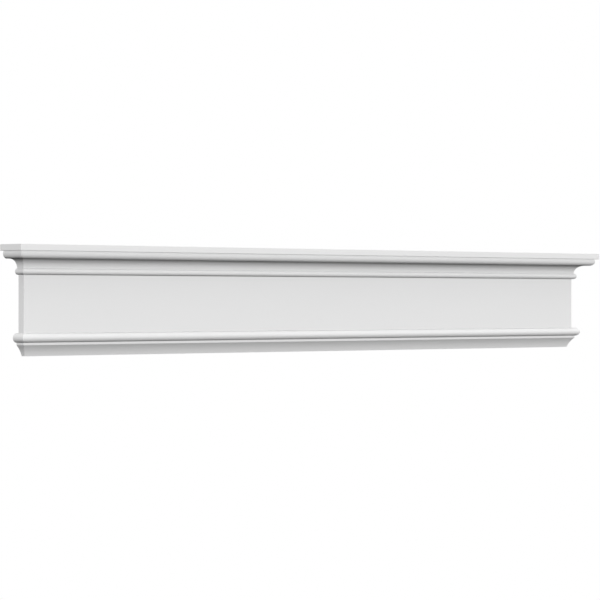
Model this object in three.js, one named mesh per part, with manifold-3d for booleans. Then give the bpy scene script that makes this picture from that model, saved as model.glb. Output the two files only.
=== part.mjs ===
// Over door cornice: a plain moulded crosshead, fixed to the wall above a door or window casing.
// It is one solid moulding with a flat back, and the profile turns back to the wall at both ends.
// Millimetres, +Z up. The wall is the plane Y = 0, the front faces -Y, and the length runs along X.
// The origin is the centre of the flat back.

import * as THREE from 'three';
import { mergeVertices } from 'three/addons/utils/BufferGeometryUtils.js';
import Module from 'manifold-3d';

// Frieze: the flat board between the mouldings. Its face is where every projection is counted from
const friezeWidth = 1168;
const friezeHeight = 79.5;
const friezeDepth = 11.1;

// Foot: a long shallow cove that narrows the moulding down to the top of the casing
const footDepth = 5.5;
const footCoveHeight = 14.9;
const footCoveRadius = 35.5;

// Lower moulding: a small fillet with a half round standing on it
const lowerFilletHeight = 3.4;
const lowerFilletProjection = 3.65;
const lowerRoundRadius = 6.55;

// Crown: bead, cove, flat soffit, rounded ovolo and square cap fillet
const beadRadius = 4.4;
const beadProjection = 6.25;
const neckProjection = 2.6;
const crownCoveRadius = 13;
const soffitWidth = 5.15;
const ovoloRadius = 6.7;
const ovoloHeight = 10.6;
const capFilletHeight = 8.8;
const capOverhang = 5.05;

// Look of the moulding
const paintColour = 0xf0f0ee;
const paintRoughness = 0.6;

// Turn from one facet of a round stretch to the next, in degrees
const facetTurn = 4;

// How far a cutting solid runs past the moulding, so that no two of their faces lie in one plane
const cutMargin = 20;

// The bead's centre lies a little behind the neck, so the bead turns past its top before it meets the cove
const beadCentre = beadProjection - beadRadius;
const beadEndTurn = Math.acos((neckProjection - beadCentre) / beadRadius);

// Levels from the foot upwards
const lowerRoundBottom = footCoveHeight + lowerFilletHeight;
const friezeBottom = lowerRoundBottom + 2 * lowerRoundRadius;
const beadBottom = friezeBottom + friezeHeight;
const crownCoveBottom = beadBottom + beadRadius * (1 + Math.sin(beadEndTurn));
const soffitLevel = crownCoveBottom + crownCoveRadius;
const capFilletBottom = soffitLevel + ovoloHeight;
const corniceHeight = capFilletBottom + capFilletHeight;

// Projections of the crown, each counted from the face of the frieze
const soffitInner = neckProjection + crownCoveRadius;
const soffitOuter = soffitInner + soffitWidth;
const capProjection = soffitOuter + ovoloRadius + capOverhang;
const footProjection = footDepth - friezeDepth;

const radians = THREE.MathUtils.degToRad;
const degrees = THREE.MathUtils.radToDeg;

// Points of an arc about (centreX, centreY). Angles are in degrees, and both ends are kept
function arcPoints(centreX, centreY, radius, startAngle, endAngle) {
  const curve = new THREE.EllipseCurve(
    centreX, centreY, radius, radius,
    radians(startAngle), radians(endAngle), endAngle < startAngle,
  );
  const facets = Math.max(2, Math.ceil(Math.abs(endAngle - startAngle) / facetTurn));
  return curve.getPoints(facets);
}

// Points of a hollow arc between two ends, with its centre on the outer side of the line between them
function hollowArcPoints(lower, upper, radius) {
  const chord = new THREE.Vector2().subVectors(upper, lower);
  const middle = new THREE.Vector2().addVectors(lower, upper).multiplyScalar(0.5);
  const outward = new THREE.Vector2(chord.y, -chord.x).normalize();
  const halfChord = chord.length() / 2;
  const centre = middle.addScaledVector(outward, Math.sqrt(radius ** 2 - halfChord ** 2));
  const angleOf = (point) => {
    const turn = Math.atan2(point.y - centre.y, point.x - centre.x);
    return degrees(THREE.MathUtils.euclideanModulo(turn, 2 * Math.PI));
  };
  return arcPoints(centre.x, centre.y, radius, angleOf(lower), angleOf(upper));
}

// Foot and lower moulding, from the bottom of the cove up to the foot of the frieze
function lowerProfile() {
  const coveFoot = new THREE.Vector2(footProjection, 0);
  const coveTop = new THREE.Vector2(lowerFilletProjection, footCoveHeight);
  return [
    ...hollowArcPoints(coveFoot, coveTop, footCoveRadius),
    ...arcPoints(lowerFilletProjection, lowerRoundBottom + lowerRoundRadius, lowerRoundRadius, -90, 90),
    new THREE.Vector2(0, friezeBottom),
  ];
}

// Crown, from the top of the frieze up to the top edge of the cap fillet
function crownProfile() {
  const ovoloCentreLevel = soffitLevel + ovoloRadius;
  const ovoloEndTurn = Math.asin((ovoloHeight - ovoloRadius) / ovoloRadius);
  return [
    new THREE.Vector2(0, beadBottom),
    ...arcPoints(beadCentre, beadBottom + beadRadius, beadRadius, -90, degrees(beadEndTurn)),
    ...arcPoints(soffitInner, crownCoveBottom, crownCoveRadius, 180, 90).slice(1),
    ...arcPoints(soffitOuter, ovoloCentreLevel, ovoloRadius, -90, degrees(ovoloEndTurn)),
    new THREE.Vector2(capProjection, capFilletBottom),
    new THREE.Vector2(capProjection, corniceHeight),
  ];
}

// Outline of the moulding as it is seen from one end, with the flat back on the wall
function endOutline(profile) {
  const outline = profile.map((point) => new THREE.Vector2(friezeDepth + point.x, point.y));
  outline.push(new THREE.Vector2(0, corniceHeight));
  outline.push(new THREE.Vector2(0, 0));
  return new THREE.Shape(outline);
}

// Outline of the moulding as it is seen from the front, run on above and below as a cutting shape
function frontOutline(profile) {
  const halfFrieze = friezeWidth / 2;
  const side = profile.map((point) => new THREE.Vector2(halfFrieze + point.x, point.y));
  side.unshift(new THREE.Vector2(side[0].x, -cutMargin));
  side.push(new THREE.Vector2(halfFrieze + capProjection, corniceHeight + cutMargin));
  const otherSide = side.map((point) => new THREE.Vector2(-point.x, point.y)).reverse();
  return new THREE.Shape([...side, ...otherSide]);
}

// A straight bar of an outline, centred on its own length, which runs along local Z
function bar(outline, length) {
  const geometry = new THREE.ExtrudeGeometry(outline, { depth: length, bevelEnabled: false });
  return geometry.translate(0, 0, -length / 2);
}

function toSolid(wasm, geometry) {
  const bare = geometry.clone();
  bare.deleteAttribute('normal');
  bare.deleteAttribute('uv');
  const merged = mergeVertices(bare);
  return new wasm.Manifold(new wasm.Mesh({
    numProp: 3,
    vertProperties: new Float32Array(merged.attributes.position.array),
    triVerts: new Uint32Array(merged.index.array),
  }));
}

function toGeometry(solid) {
  const mesh = solid.getMesh();
  const geometry = new THREE.BufferGeometry();
  geometry.setAttribute('position', new THREE.BufferAttribute(mesh.vertProperties, mesh.numProp));
  geometry.setIndex(new THREE.BufferAttribute(mesh.triVerts, 1));
  geometry.computeVertexNormals();
  return geometry;
}

// The moulding is what a long bar of the end outline and a deep bar of the front outline share.
// At every level that is a rectangle against the wall, so both corners come out as true mitres.
function corniceGeometry(wasm) {
  const profile = [...lowerProfile(), ...crownProfile()];

  const capWidth = friezeWidth + 2 * capProjection;
  const longBar = bar(endOutline(profile), capWidth + 2 * cutMargin);
  // Turns the outline's own axes to -Y and Z, and its length to X
  longBar.applyMatrix4(new THREE.Matrix4().makeBasis(
    new THREE.Vector3(0, -1, 0),
    new THREE.Vector3(0, 0, 1),
    new THREE.Vector3(-1, 0, 0),
  ));

  const capDepth = friezeDepth + capProjection;
  const deepBar = bar(frontOutline(profile), 2 * (capDepth + cutMargin));
  deepBar.rotateX(Math.PI / 2);

  const shared = toSolid(wasm, longBar).intersect(toSolid(wasm, deepBar));
  return toGeometry(shared).translate(0, 0, -corniceHeight / 2);
}

const wasm = await Module();
wasm.setup();

const paint = new THREE.MeshStandardMaterial({
  color: paintColour,
  roughness: paintRoughness,
  metalness: 0,
});

const cornice = new THREE.Mesh(corniceGeometry(wasm), paint);
cornice.name = 'over_door_cornice';

const part = new THREE.Group();
part.add(cornice);

export default part;
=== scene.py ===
# Over door cornice: one moulded crosshead, primed white, that is fixed flat to the wall over a door.
# Metres, +Z up. The wall is the plane Y = 0, the front faces -Y, and the length runs along X.

import math

import bmesh
import bpy
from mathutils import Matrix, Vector


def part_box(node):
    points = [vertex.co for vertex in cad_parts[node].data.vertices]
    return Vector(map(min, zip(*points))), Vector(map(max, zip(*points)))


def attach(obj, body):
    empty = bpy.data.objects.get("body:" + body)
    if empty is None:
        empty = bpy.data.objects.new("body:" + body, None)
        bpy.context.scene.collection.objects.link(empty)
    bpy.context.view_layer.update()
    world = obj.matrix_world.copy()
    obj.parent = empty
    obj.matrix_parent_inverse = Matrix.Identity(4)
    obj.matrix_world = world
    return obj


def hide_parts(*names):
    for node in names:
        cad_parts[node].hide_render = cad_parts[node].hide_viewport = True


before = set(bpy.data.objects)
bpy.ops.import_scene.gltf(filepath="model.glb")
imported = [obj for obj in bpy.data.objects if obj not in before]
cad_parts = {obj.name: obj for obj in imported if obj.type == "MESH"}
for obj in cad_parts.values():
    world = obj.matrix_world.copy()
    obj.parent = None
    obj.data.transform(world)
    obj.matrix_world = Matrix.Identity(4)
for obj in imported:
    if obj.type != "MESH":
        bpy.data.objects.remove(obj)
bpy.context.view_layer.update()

MM = 0.001

# The moulding's whole size comes from the frame
NODE = "over_door_cornice"
box_low, box_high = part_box(NODE)
HALF_CAP_WIDTH = box_high.x
WHOLE_DEPTH = -box_low.y
WHOLE_HEIGHT = box_high.z - box_low.z

# Sizes of the mouldings, from the foot up. Projections are counted from the face of the frieze.
# The foot's cove is 0.2 mm taller and the half round's radius 0.1 mm smaller than in the CAD, because
# that shades more like the photo
FRIEZE_DEPTH = 11.1 * MM
FOOT_DEPTH = 5.5 * MM
FOOT_COVE_HEIGHT = 15.1 * MM
FOOT_COVE_RADIUS = 35.5 * MM
LOWER_FILLET_HEIGHT = 3.4 * MM
LOWER_FILLET_PROJECTION = 3.65 * MM
LOWER_ROUND_RADIUS = 6.45 * MM
BEAD_RADIUS = 4.4 * MM
BEAD_PROJECTION = 6.25 * MM
NECK_PROJECTION = 2.6 * MM
CROWN_COVE_RADIUS = 13 * MM
OVOLO_RADIUS = 6.7 * MM
OVOLO_HEIGHT = 10.6 * MM
CAP_FILLET_HEIGHT = 8.8 * MM
CAP_OVERHANG = 5.05 * MM

# Radii of the edges, which leave the mould a little soft, of the arris under the small fillet, and of
# the inner corners of the frieze, which paint fills
EASED_EDGE = 0.25 * MM
CAP_LOWER_EDGE = 0.5 * MM
ROUNDED_ARRIS = 1.2 * MM
FILLED_CORNER = 0.3 * MM

# Facets of an eased edge, and the most that an arc turns from one facet to the next, in degrees
EASE_STEPS = 4
ARC_STEP = 2.5

# The projections and levels that follow from them
CAP_PROJECTION = WHOLE_DEPTH - FRIEZE_DEPTH
HALF_FRIEZE_WIDTH = HALF_CAP_WIDTH - CAP_PROJECTION
FOOT_PROJECTION = FOOT_DEPTH - FRIEZE_DEPTH
SOFFIT_OUTER = CAP_PROJECTION - CAP_OVERHANG - OVOLO_RADIUS
SOFFIT_INNER = NECK_PROJECTION + CROWN_COVE_RADIUS
BEAD_CENTRE = BEAD_PROJECTION - BEAD_RADIUS
BEAD_END = math.acos((NECK_PROJECTION - BEAD_CENTRE) / BEAD_RADIUS)
ROUND_BOTTOM = FOOT_COVE_HEIGHT + LOWER_FILLET_HEIGHT
FRIEZE_BOTTOM = ROUND_BOTTOM + 2 * LOWER_ROUND_RADIUS
CAP_BOTTOM = WHOLE_HEIGHT - CAP_FILLET_HEIGHT
SOFFIT_LEVEL = CAP_BOTTOM - OVOLO_HEIGHT
CROWN_COVE_BOTTOM = SOFFIT_LEVEL - CROWN_COVE_RADIUS
BEAD_BOTTOM = CROWN_COVE_BOTTOM - BEAD_RADIUS * (1 + math.sin(BEAD_END))

# How far the surface may turn at an edge and still be shaded smooth, in degrees
SMOOTH_TURN = 35

# What lies this close to the wall counts as the back
BACK_SKIN = 0.05 * MM

# The primer: how wide a pass of the spray gun is, and how many times longer than wide its patches are
SPRAY_PASS = 90 * MM
SPRAY_STRETCH = 4
PRIMER_ROUGHNESS = (0.66, 0.76)

# Real orange peel is about half as wide, and is drawn coarser so that it shows
ORANGE_PEEL = 2.5 * MM
PEEL_DEPTH = 0.012 * MM

# Marks that run with the moulding
MARK_WIDTH = 3 * MM
MARK_DEPTH = 0.008 * MM
MARK_STRETCH = 50

# The bare back. Drag marks take at most their share of their own colour. A share of the cells holds a
# blowhole, whose radius is at most the reach times the pitch. Real blowholes are about half as large,
# and are drawn coarser so that they show
FOAM_MOTTLE = 45 * MM
DRAG_MARK = 6 * MM
DRAG_SHARE = 0.5
BLOWHOLE_PITCH = 14 * MM
BLOWHOLE_REACH = 0.32
BLOWHOLE_SHARE = 0.4
BLOWHOLE_DEPTH = 0.3 * MM
FOAM_ROUGHNESS = 0.9

# The primer laps unevenly over the back's rim, and its edge fades out
PRIMER_LAP = 7 * MM
RAGGED_WAVE = 14 * MM
RAGGED_DEPTH = 6 * MM
SPRAY_FADE = 0.8 * MM

# Detail of a noise pattern, in octaves
SMOOTH_NOISE = 1
SOFT_NOISE = 2
RAGGED_NOISE = 3

# Sockets of a mix node, which go by number because several of them share a name
FACTOR = 0
NUMBER_A = 2
NUMBER_B = 3
COLOUR_A = 6
COLOUR_B = 7
MIXED_COLOUR = 2

# The camera stands level with the middle of the moulding, far off to the left of its front. The distance
# is in metres and the lens in millimetres
CAMERA_AIM = Vector((-49.3 * MM, -FRIEZE_DEPTH, 0.56 * MM))
CAMERA_TURN = math.radians(45.508)
CAMERA_DISTANCE = 4.4428
CAMERA_LEVEL = 0.17 * MM
LENS = 179.6

# The light overhead is so wide that the crown keeps a little of it from the frieze, as in the photo.
# It fills the sky above the edge, and fades out over the blur on both sides of it. Both are heights in
# a sky of radius 1
OVERHEAD_STRENGTH = 1.09
OVERHEAD_EDGE = 0.75
OVERHEAD_BLUR = 0.07

# The floor is so low that the photo's view misses it and the moulding can be seen from below, and so
# wide that it fills a view from 15 degrees above
FLOOR_DROP = 5.0
FLOOR_RADIUS = 40.0
FLOOR_SIDES = 96
FLOOR_ROUGHNESS = 0.9


def linear(hex_colour):
    """An sRGB colour such as "f0f0ee" as linear red, green, blue and alpha."""
    parts = [int(hex_colour[i : i + 2], 16) / 255 for i in (0, 2, 4)]
    return [c / 12.92 if c <= 0.04045 else ((c + 0.055) / 1.055) ** 2.4 for c in parts] + [1.0]


def add_node(tree, kind, settings=None, links=None):
    """Adds a node. Settings name a property or an input, and links name an input and what feeds it. An
    input that shares its name with another goes by its number."""
    node = tree.nodes.new(kind)
    for name, value in (settings or {}).items():
        if isinstance(name, int) or name in node.inputs:
            node.inputs[name].default_value = value
        else:
            setattr(node, name, value)
    for name, source in (links or {}).items():
        tree.links.new(source, node.inputs[name])
    return node


# Profile

def arc(centre_out, centre_up, radius, start, end):
    """Points of an arc, as (projection, level), from one angle to the other in degrees."""
    steps = max(2, math.ceil(abs(end - start) / ARC_STEP))
    turns = [math.radians(start + (end - start) * i / steps) for i in range(steps + 1)]
    return [Vector((centre_out + radius * math.cos(t), centre_up + radius * math.sin(t))) for t in turns]


def hollow_arc(lower, upper, radius):
    """Points of a hollow arc between two ends, with its centre on the outer side."""
    chord = upper - lower
    outward = Vector((chord.y, -chord.x)).normalized()
    centre = (lower + upper) / 2 + outward * math.sqrt(radius**2 - chord.length_squared / 4)
    start, end = (math.degrees(math.atan2(p.y - centre.y, p.x - centre.x)) % 360 for p in (lower, upper))
    return arc(centre.x, centre.y, radius, start, end)


def rounded(before, corner, after, radius):
    """Points of a small arc that replaces the corner between two straight edges."""
    back, on = (before - corner).normalized(), (after - corner).normalized()
    half = back.angle(on) / 2
    centre = corner + (back + on).normalized() * (radius / math.sin(half))
    reach = radius / math.tan(half)
    first, last = corner + back * reach - centre, corner + on * reach - centre
    turn = first.angle_signed(last)
    points = []
    for i in range(EASE_STEPS + 1):
        angle = math.atan2(first.y, first.x) - turn * i / EASE_STEPS
        points.append(centre + radius * Vector((math.cos(angle), math.sin(angle))))
    return points


def moulding_profile():
    """The profile from the underside of the foot to the top of the cap."""
    foot = Vector((FOOT_PROJECTION, 0))
    fillet_edge = Vector((LOWER_FILLET_PROJECTION, FOOT_COVE_HEIGHT))
    cove = hollow_arc(foot, fillet_edge, FOOT_COVE_RADIUS)
    round_centre = ROUND_BOTTOM + LOWER_ROUND_RADIUS
    lower_round = arc(LOWER_FILLET_PROJECTION, round_centre, LOWER_ROUND_RADIUS, -90, 90)
    frieze_foot = Vector((0, FRIEZE_BOTTOM))
    frieze_top = Vector((0, BEAD_BOTTOM))
    bead = arc(BEAD_CENTRE, BEAD_BOTTOM + BEAD_RADIUS, BEAD_RADIUS, -90, math.degrees(BEAD_END))
    crown_cove = arc(SOFFIT_INNER, CROWN_COVE_BOTTOM, CROWN_COVE_RADIUS, 180, 90)
    ovolo_end = math.degrees(math.asin((OVOLO_HEIGHT - OVOLO_RADIUS) / OVOLO_RADIUS))
    ovolo = arc(SOFFIT_OUTER, SOFFIT_LEVEL + OVOLO_RADIUS, OVOLO_RADIUS, -90, ovolo_end)
    cap_edge = Vector((CAP_PROJECTION, CAP_BOTTOM))
    cap_top = Vector((CAP_PROJECTION, WHOLE_HEIGHT))
    inward = Vector((1, 0)) * FOOT_DEPTH
    return [
        *rounded(foot - inward, foot, cove[1], EASED_EDGE),
        *cove[1:-1],
        *rounded(cove[-2], fillet_edge, lower_round[0], ROUNDED_ARRIS),
        *lower_round,
        *rounded(lower_round[-1], frieze_foot, frieze_top, FILLED_CORNER),
        *rounded(frieze_foot, frieze_top, bead[0], FILLED_CORNER),
        *bead,
        *crown_cove[1:],
        *ovolo,
        *rounded(ovolo[-1], cap_edge, cap_top, CAP_LOWER_EDGE),
        *rounded(cap_edge, cap_top, cap_top - inward, EASED_EDGE),
    ]


# Moulding

def move(piece, is_moved, step):
    """Moves those vertices of the newest ring that belong to one side of the plan."""
    mesh = bmesh.from_edit_mesh(piece.data)
    ring = [vertex for vertex in mesh.verts if vertex.select]
    for vertex in ring:
        vertex.select_set(is_moved(vertex.co))
    mesh.select_flush_mode()
    bmesh.update_edit_mesh(piece.data)
    bpy.ops.transform.translate(value=step)
    for vertex in ring:
        vertex.select_set(True)
    mesh.select_flush(True)
    bmesh.update_edit_mesh(piece.data)


def raise_mouldings(piece, profile):
    """Extrudes the foot's plate upwards from point to point of the profile. Each step also moves the
    front and both ends out or in by the same amount, so that the corners come out as mitres."""
    for here, there in zip(profile, profile[1:]):
        out, up = there - here
        bpy.ops.mesh.extrude_region_move(TRANSFORM_OT_translate={"value": (0, 0, up)})
        move(piece, lambda place: place.x < 0, (-out, 0, 0))
        move(piece, lambda place: place.x > 0, (out, 0, 0))
        move(piece, lambda place: place.y < -FOOT_DEPTH / 2, (0, -out, 0))


def join_back(piece):
    """The extrusion leaves the back in strips, which become one flat face."""
    bpy.ops.mesh.select_all(action="DESELECT")
    bpy.ops.mesh.select_mode(type="FACE")
    mesh = bmesh.from_edit_mesh(piece.data)
    for face in mesh.faces:
        face.select_set(all(vertex.co.y > -BACK_SKIN for vertex in face.verts))
    bmesh.update_edit_mesh(piece.data)
    bpy.ops.mesh.dissolve_faces()


def make_cornice():
    """The whole moulding, from a plate the size of the foot's underside."""
    profile = moulding_profile()
    half_width, depth = HALF_FRIEZE_WIDTH + profile[0].x, FRIEZE_DEPTH + profile[0].x
    bpy.ops.object.select_all(action="DESELECT")
    bpy.ops.mesh.primitive_plane_add(size=1, location=(0, -depth / 2, box_low.z))
    cornice = bpy.context.object
    cornice.name = cornice.data.name = "primed_cornice"
    cornice.scale = (2 * half_width, depth, 1)
    bpy.ops.object.transform_apply(location=True, rotation=True, scale=True)

    bpy.ops.object.mode_set(mode="EDIT")
    bpy.ops.mesh.select_mode(type="VERT")
    mesh = bmesh.from_edit_mesh(cornice.data)
    for vertex in mesh.verts:
        vertex.select_set(vertex.co.y < -depth / 2)
    bmesh.update_edit_mesh(cornice.data)
    bpy.ops.mesh.bevel(offset=EASED_EDGE, segments=EASE_STEPS, profile=0.5, affect="VERTICES")
    bpy.ops.mesh.select_all(action="SELECT")
    raise_mouldings(cornice, profile)
    join_back(cornice)
    bpy.ops.mesh.select_all(action="SELECT")
    bpy.ops.mesh.normals_make_consistent(inside=False)
    bpy.ops.object.mode_set(mode="OBJECT")

    bpy.ops.object.shade_smooth_by_angle(angle=math.radians(SMOOTH_TURN))
    weighted = cornice.modifiers.new("flat faces stay flat", "WEIGHTED_NORMAL")
    weighted.keep_sharp = True
    bpy.ops.object.modifier_apply(modifier=weighted.name)
    return cornice


# Materials

def bare_back_mask(tree, place):
    """1 on the bare foam of the back, and 0 on the primer, also where it laps over the back's rim."""
    parts = add_node(tree, "ShaderNodeSeparateXYZ", None, {0: place})
    mask = add_node(
        tree, "ShaderNodeMath", {"operation": "GREATER_THAN", 1: -BACK_SKIN}, {0: parts.outputs["Y"]}
    ).outputs[0]
    ragged = add_node(
        tree, "ShaderNodeTexNoise", {"Scale": 1 / RAGGED_WAVE, "Detail": RAGGED_NOISE}, {"Vector": place}
    )
    wander = add_node(
        tree,
        "ShaderNodeMath",
        {"operation": "MULTIPLY_ADD", 1: 2 * RAGGED_DEPTH, 2: -RAGGED_DEPTH},
        {0: ragged.outputs[0]},
    )
    for axis, half_size in (("X", HALF_FRIEZE_WIDTH), ("Z", WHOLE_HEIGHT / 2)):
        reach = add_node(tree, "ShaderNodeMath", {"operation": "ABSOLUTE"}, {0: parts.outputs[axis]})
        wavering = add_node(
            tree, "ShaderNodeMath", {"operation": "ADD"}, {0: reach.outputs[0], 1: wander.outputs[0]}
        )
        rim = half_size - PRIMER_LAP
        inside = add_node(
            tree,
            "ShaderNodeMapRange",
            {"From Min": rim - SPRAY_FADE, "From Max": rim + SPRAY_FADE, "To Min": 1, "To Max": 0},
            {"Value": wavering.outputs[0]},
        )
        mask = add_node(
            tree, "ShaderNodeMath", {"operation": "MULTIPLY"}, {0: mask, 1: inside.outputs[0]}
        ).outputs[0]
    return mask


def primed_polyurethane():
    """Rigid polyurethane foam, moulded in one piece and sprayed with white primer. The eye gets an even
    matt white with a faint sheen, a fine orange peel from the spray and very faint lengthwise marks. The
    back is left bare: a pale creamy foam with small open cells, whose insides carry painted shade, and
    primer that laps over its rim."""
    material = bpy.data.materials.new("primed moulded polyurethane")
    material.use_nodes = True
    tree = material.node_tree
    shader = tree.nodes["Principled BSDF"]
    place = add_node(tree, "ShaderNodeTexCoord").outputs["Object"]
    bare = bare_back_mask(tree, place)

    # Passes of the spray gun run along the moulding and cover it a little unevenly
    passes = add_node(tree, "ShaderNodeMapping", {"Scale": (1 / SPRAY_STRETCH, 1, 1)}, {"Vector": place})
    cover = add_node(
        tree,
        "ShaderNodeTexNoise",
        {"Scale": 1 / SPRAY_PASS, "Detail": SOFT_NOISE},
        {"Vector": passes.outputs[0]},
    ).outputs[0]
    primer = add_node(
        tree,
        "ShaderNodeMix",
        {"data_type": "RGBA", COLOUR_A: linear("f1f1f1"), COLOUR_B: linear("eeeeee")},
        {FACTOR: cover},
    )

    # The back came off the mould's lid: mottled foam, faint drag marks and scattered blowholes, whose pits
    # are darkened with painted shade
    mottle = add_node(
        tree, "ShaderNodeTexNoise", {"Scale": 1 / FOAM_MOTTLE, "Detail": RAGGED_NOISE}, {"Vector": place}
    )
    foam = add_node(
        tree,
        "ShaderNodeMix",
        {"data_type": "RGBA", COLOUR_A: linear("f4f1e8"), COLOUR_B: linear("e6e1d3")},
        {FACTOR: mottle.outputs[0]},
    )
    along = add_node(
        tree, "ShaderNodeMapping", {"Scale": (1 / MARK_STRETCH, 1 / MARK_STRETCH, 1)}, {"Vector": place}
    ).outputs[0]
    drag = add_node(
        tree, "ShaderNodeTexNoise", {"Scale": 1 / DRAG_MARK, "Detail": RAGGED_NOISE}, {"Vector": along}
    )
    drag_cover = add_node(tree, "ShaderNodeMapRange", {"To Max": DRAG_SHARE}, {"Value": drag.outputs[0]})
    dragged_foam = add_node(
        tree,
        "ShaderNodeMix",
        {"data_type": "RGBA", COLOUR_B: linear("dcd6c6")},
        {FACTOR: drag_cover.outputs[0], COLOUR_A: foam.outputs[MIXED_COLOUR]},
    )
    cells = add_node(tree, "ShaderNodeTexVoronoi", {"Scale": 1 / BLOWHOLE_PITCH}, {"Vector": place})
    chance = add_node(tree, "ShaderNodeSeparateColor", None, {0: cells.outputs["Color"]})
    reach = add_node(
        tree,
        "ShaderNodeMapRange",
        {"From Min": 1 - BLOWHOLE_SHARE, "From Max": 1, "To Min": 0, "To Max": BLOWHOLE_REACH},
        {"Value": chance.outputs[0]},
    )
    blowhole_pit_and_shade = add_node(
        tree,
        "ShaderNodeMapRange",
        {"interpolation_type": "SMOOTHSTEP", "From Min": 0, "To Min": 1, "To Max": 0},
        {"Value": cells.outputs["Distance"], "From Max": reach.outputs[0]},
    ).outputs[0]
    # Painted shade: the inside of each blowhole is coloured darker than the foam around it
    foam_with_painted_pit_shade = add_node(
        tree,
        "ShaderNodeMix",
        {"data_type": "RGBA", COLOUR_B: linear("b9b19c")},
        {FACTOR: blowhole_pit_and_shade, COLOUR_A: dragged_foam.outputs[MIXED_COLOUR]},
    )
    colour = add_node(
        tree,
        "ShaderNodeMix",
        {"data_type": "RGBA"},
        {
            FACTOR: bare,
            COLOUR_A: primer.outputs[MIXED_COLOUR],
            COLOUR_B: foam_with_painted_pit_shade.outputs[MIXED_COLOUR],
        },
    )
    tree.links.new(colour.outputs[MIXED_COLOUR], shader.inputs["Base Color"])

    # Orange peel of the sprayed primer, and marks that run with the moulding, from rubbing down the mould
    peel = add_node(
        tree, "ShaderNodeTexNoise", {"Scale": 1 / ORANGE_PEEL, "Detail": SMOOTH_NOISE}, {"Vector": place}
    )
    marks = add_node(
        tree, "ShaderNodeTexNoise", {"Scale": 1 / MARK_WIDTH, "Detail": SOFT_NOISE}, {"Vector": along}
    )
    pits = add_node(tree, "ShaderNodeMath", {"operation": "MULTIPLY"}, {0: blowhole_pit_and_shade, 1: bare})
    peeled = add_node(tree, "ShaderNodeBump", {"Distance": PEEL_DEPTH}, {"Height": peel.outputs[0]})
    marked = add_node(
        tree,
        "ShaderNodeBump",
        {"Distance": MARK_DEPTH},
        {"Height": marks.outputs[0], "Normal": peeled.outputs[0]},
    )
    pitted = add_node(
        tree,
        "ShaderNodeBump",
        {"Distance": -BLOWHOLE_DEPTH},
        {"Height": pits.outputs[0], "Normal": marked.outputs[0]},
    )
    tree.links.new(pitted.outputs[0], shader.inputs["Normal"])

    # Bare foam is duller than the primer
    low, high = PRIMER_ROUGHNESS
    sheen = add_node(tree, "ShaderNodeMapRange", {"To Min": low, "To Max": high}, {"Value": cover})
    roughness = add_node(
        tree,
        "ShaderNodeMix",
        {"data_type": "FLOAT", NUMBER_B: FOAM_ROUGHNESS},
        {FACTOR: bare, NUMBER_A: sheen.outputs[0]},
    )
    tree.links.new(roughness.outputs[0], shader.inputs["Roughness"])
    return material


def pale_floor():
    """A sheet of pale matt card: an even, dull grey."""
    material = bpy.data.materials.new("pale studio floor")
    material.use_nodes = True
    shader = material.node_tree.nodes["Principled BSDF"]
    shader.inputs["Base Color"].default_value = linear("d4d4d4")
    shader.inputs["Roughness"].default_value = FLOOR_ROUGHNESS
    return material


# Studio

def make_camera():
    data = bpy.data.cameras.new("camera")
    data.lens = LENS
    camera = bpy.data.objects.new("camera", data)
    bpy.context.scene.collection.objects.link(camera)
    back = Vector((-math.sin(CAMERA_TURN), -math.cos(CAMERA_TURN), 0))
    camera.location = CAMERA_AIM + back * CAMERA_DISTANCE
    camera.location.z = CAMERA_LEVEL
    camera.rotation_mode = "QUATERNION"
    camera.rotation_quaternion = (CAMERA_AIM - camera.location).to_track_quat("-Z", "Y")
    bpy.context.scene.camera = camera


def add_fill(name, azimuth, elevation, strength, softness):
    """A far, even light that casts no shadow, as fill panels all round a small studio give. Azimuth 0 is
    straight before the front, and a positive one is to the right."""
    data = bpy.data.lights.new(name, "SUN")
    data.energy = strength
    data.angle = math.radians(softness)
    data.use_shadow = False
    light = bpy.data.objects.new(name, data)
    bpy.context.scene.collection.objects.link(light)
    turn, rise = math.radians(azimuth), math.radians(elevation)
    source = Vector((math.sin(turn) * math.cos(rise), -math.cos(turn) * math.cos(rise), math.sin(rise)))
    light.rotation_mode = "QUATERNION"
    light.rotation_quaternion = (-source).to_track_quat("-Z", "Y")


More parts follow.
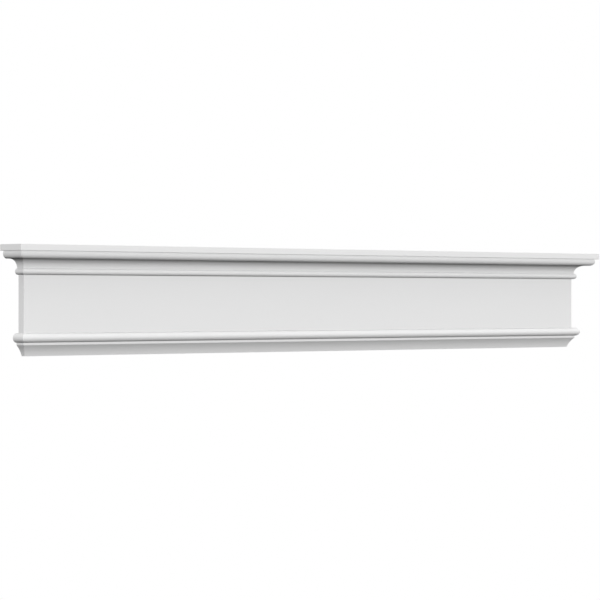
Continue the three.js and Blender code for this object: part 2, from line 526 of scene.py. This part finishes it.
def make_overhead():
    """A white surround that the camera sees, and a wide soft light overhead that it doesn't."""
    world = bpy.data.worlds.new("white surround")
    world.use_nodes = True
    tree = world.node_tree
    tree.nodes.clear()
    direction = add_node(tree, "ShaderNodeTexCoord")
    parts = add_node(tree, "ShaderNodeSeparateXYZ", None, {0: direction.outputs["Generated"]})
    light = add_node(
        tree,
        "ShaderNodeMapRange",
        {
            "From Min": OVERHEAD_EDGE - OVERHEAD_BLUR,
            "From Max": OVERHEAD_EDGE + OVERHEAD_BLUR,
            "To Max": OVERHEAD_STRENGTH,
        },
        {"Value": parts.outputs["Z"]},
    )
    soft = add_node(tree, "ShaderNodeBackground", {"Color": (1, 1, 1, 1)}, {"Strength": light.outputs[0]})
    white = add_node(tree, "ShaderNodeBackground", {"Color": (1, 1, 1, 1), "Strength": 1})
    path = add_node(tree, "ShaderNodeLightPath")
    mix = add_node(
        tree,
        "ShaderNodeMixShader",
        None,
        {0: path.outputs["Is Camera Ray"], 1: soft.outputs[0], 2: white.outputs[0]},
    )
    add_node(tree, "ShaderNodeOutputWorld", None, {0: mix.outputs[0]})
    bpy.context.scene.world = world


def make_floor():
    bpy.ops.object.select_all(action="DESELECT")
    bpy.ops.mesh.primitive_circle_add(
        vertices=FLOOR_SIDES, radius=FLOOR_RADIUS, fill_type="NGON", location=(0, 0, box_low.z - FLOOR_DROP)
    )
    floor = bpy.context.object
    floor.name = "floor"
    floor.data.materials.append(pale_floor())
    # The fills light the undersides enough, so the paint doesn't mirror the floor too
    floor.visible_glossy = False


# Plain colours, and no light bounced between the mouldings, as in the photo
bpy.context.scene.view_settings.view_transform = "Standard"
bpy.context.scene.cycles.diffuse_bounces = 0

make_camera()
make_overhead()
add_fill("front fill", azimuth=0, elevation=0, strength=0.97, softness=10)
add_fill("right front fill", azimuth=30, elevation=20, strength=1.28, softness=50)
add_fill("left fill", azimuth=-75, elevation=20, strength=2.22, softness=50)
add_fill("right fill", azimuth=90, elevation=0, strength=1.5, softness=0)
add_fill("back fill", azimuth=180, elevation=0, strength=2.2, softness=0)
add_fill("under fill", azimuth=0, elevation=-90, strength=0.05, softness=0)
make_floor()

cornice = make_cornice()
cornice.data.materials.append(primed_polyurethane())
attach(cornice, "root")
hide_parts(NODE)
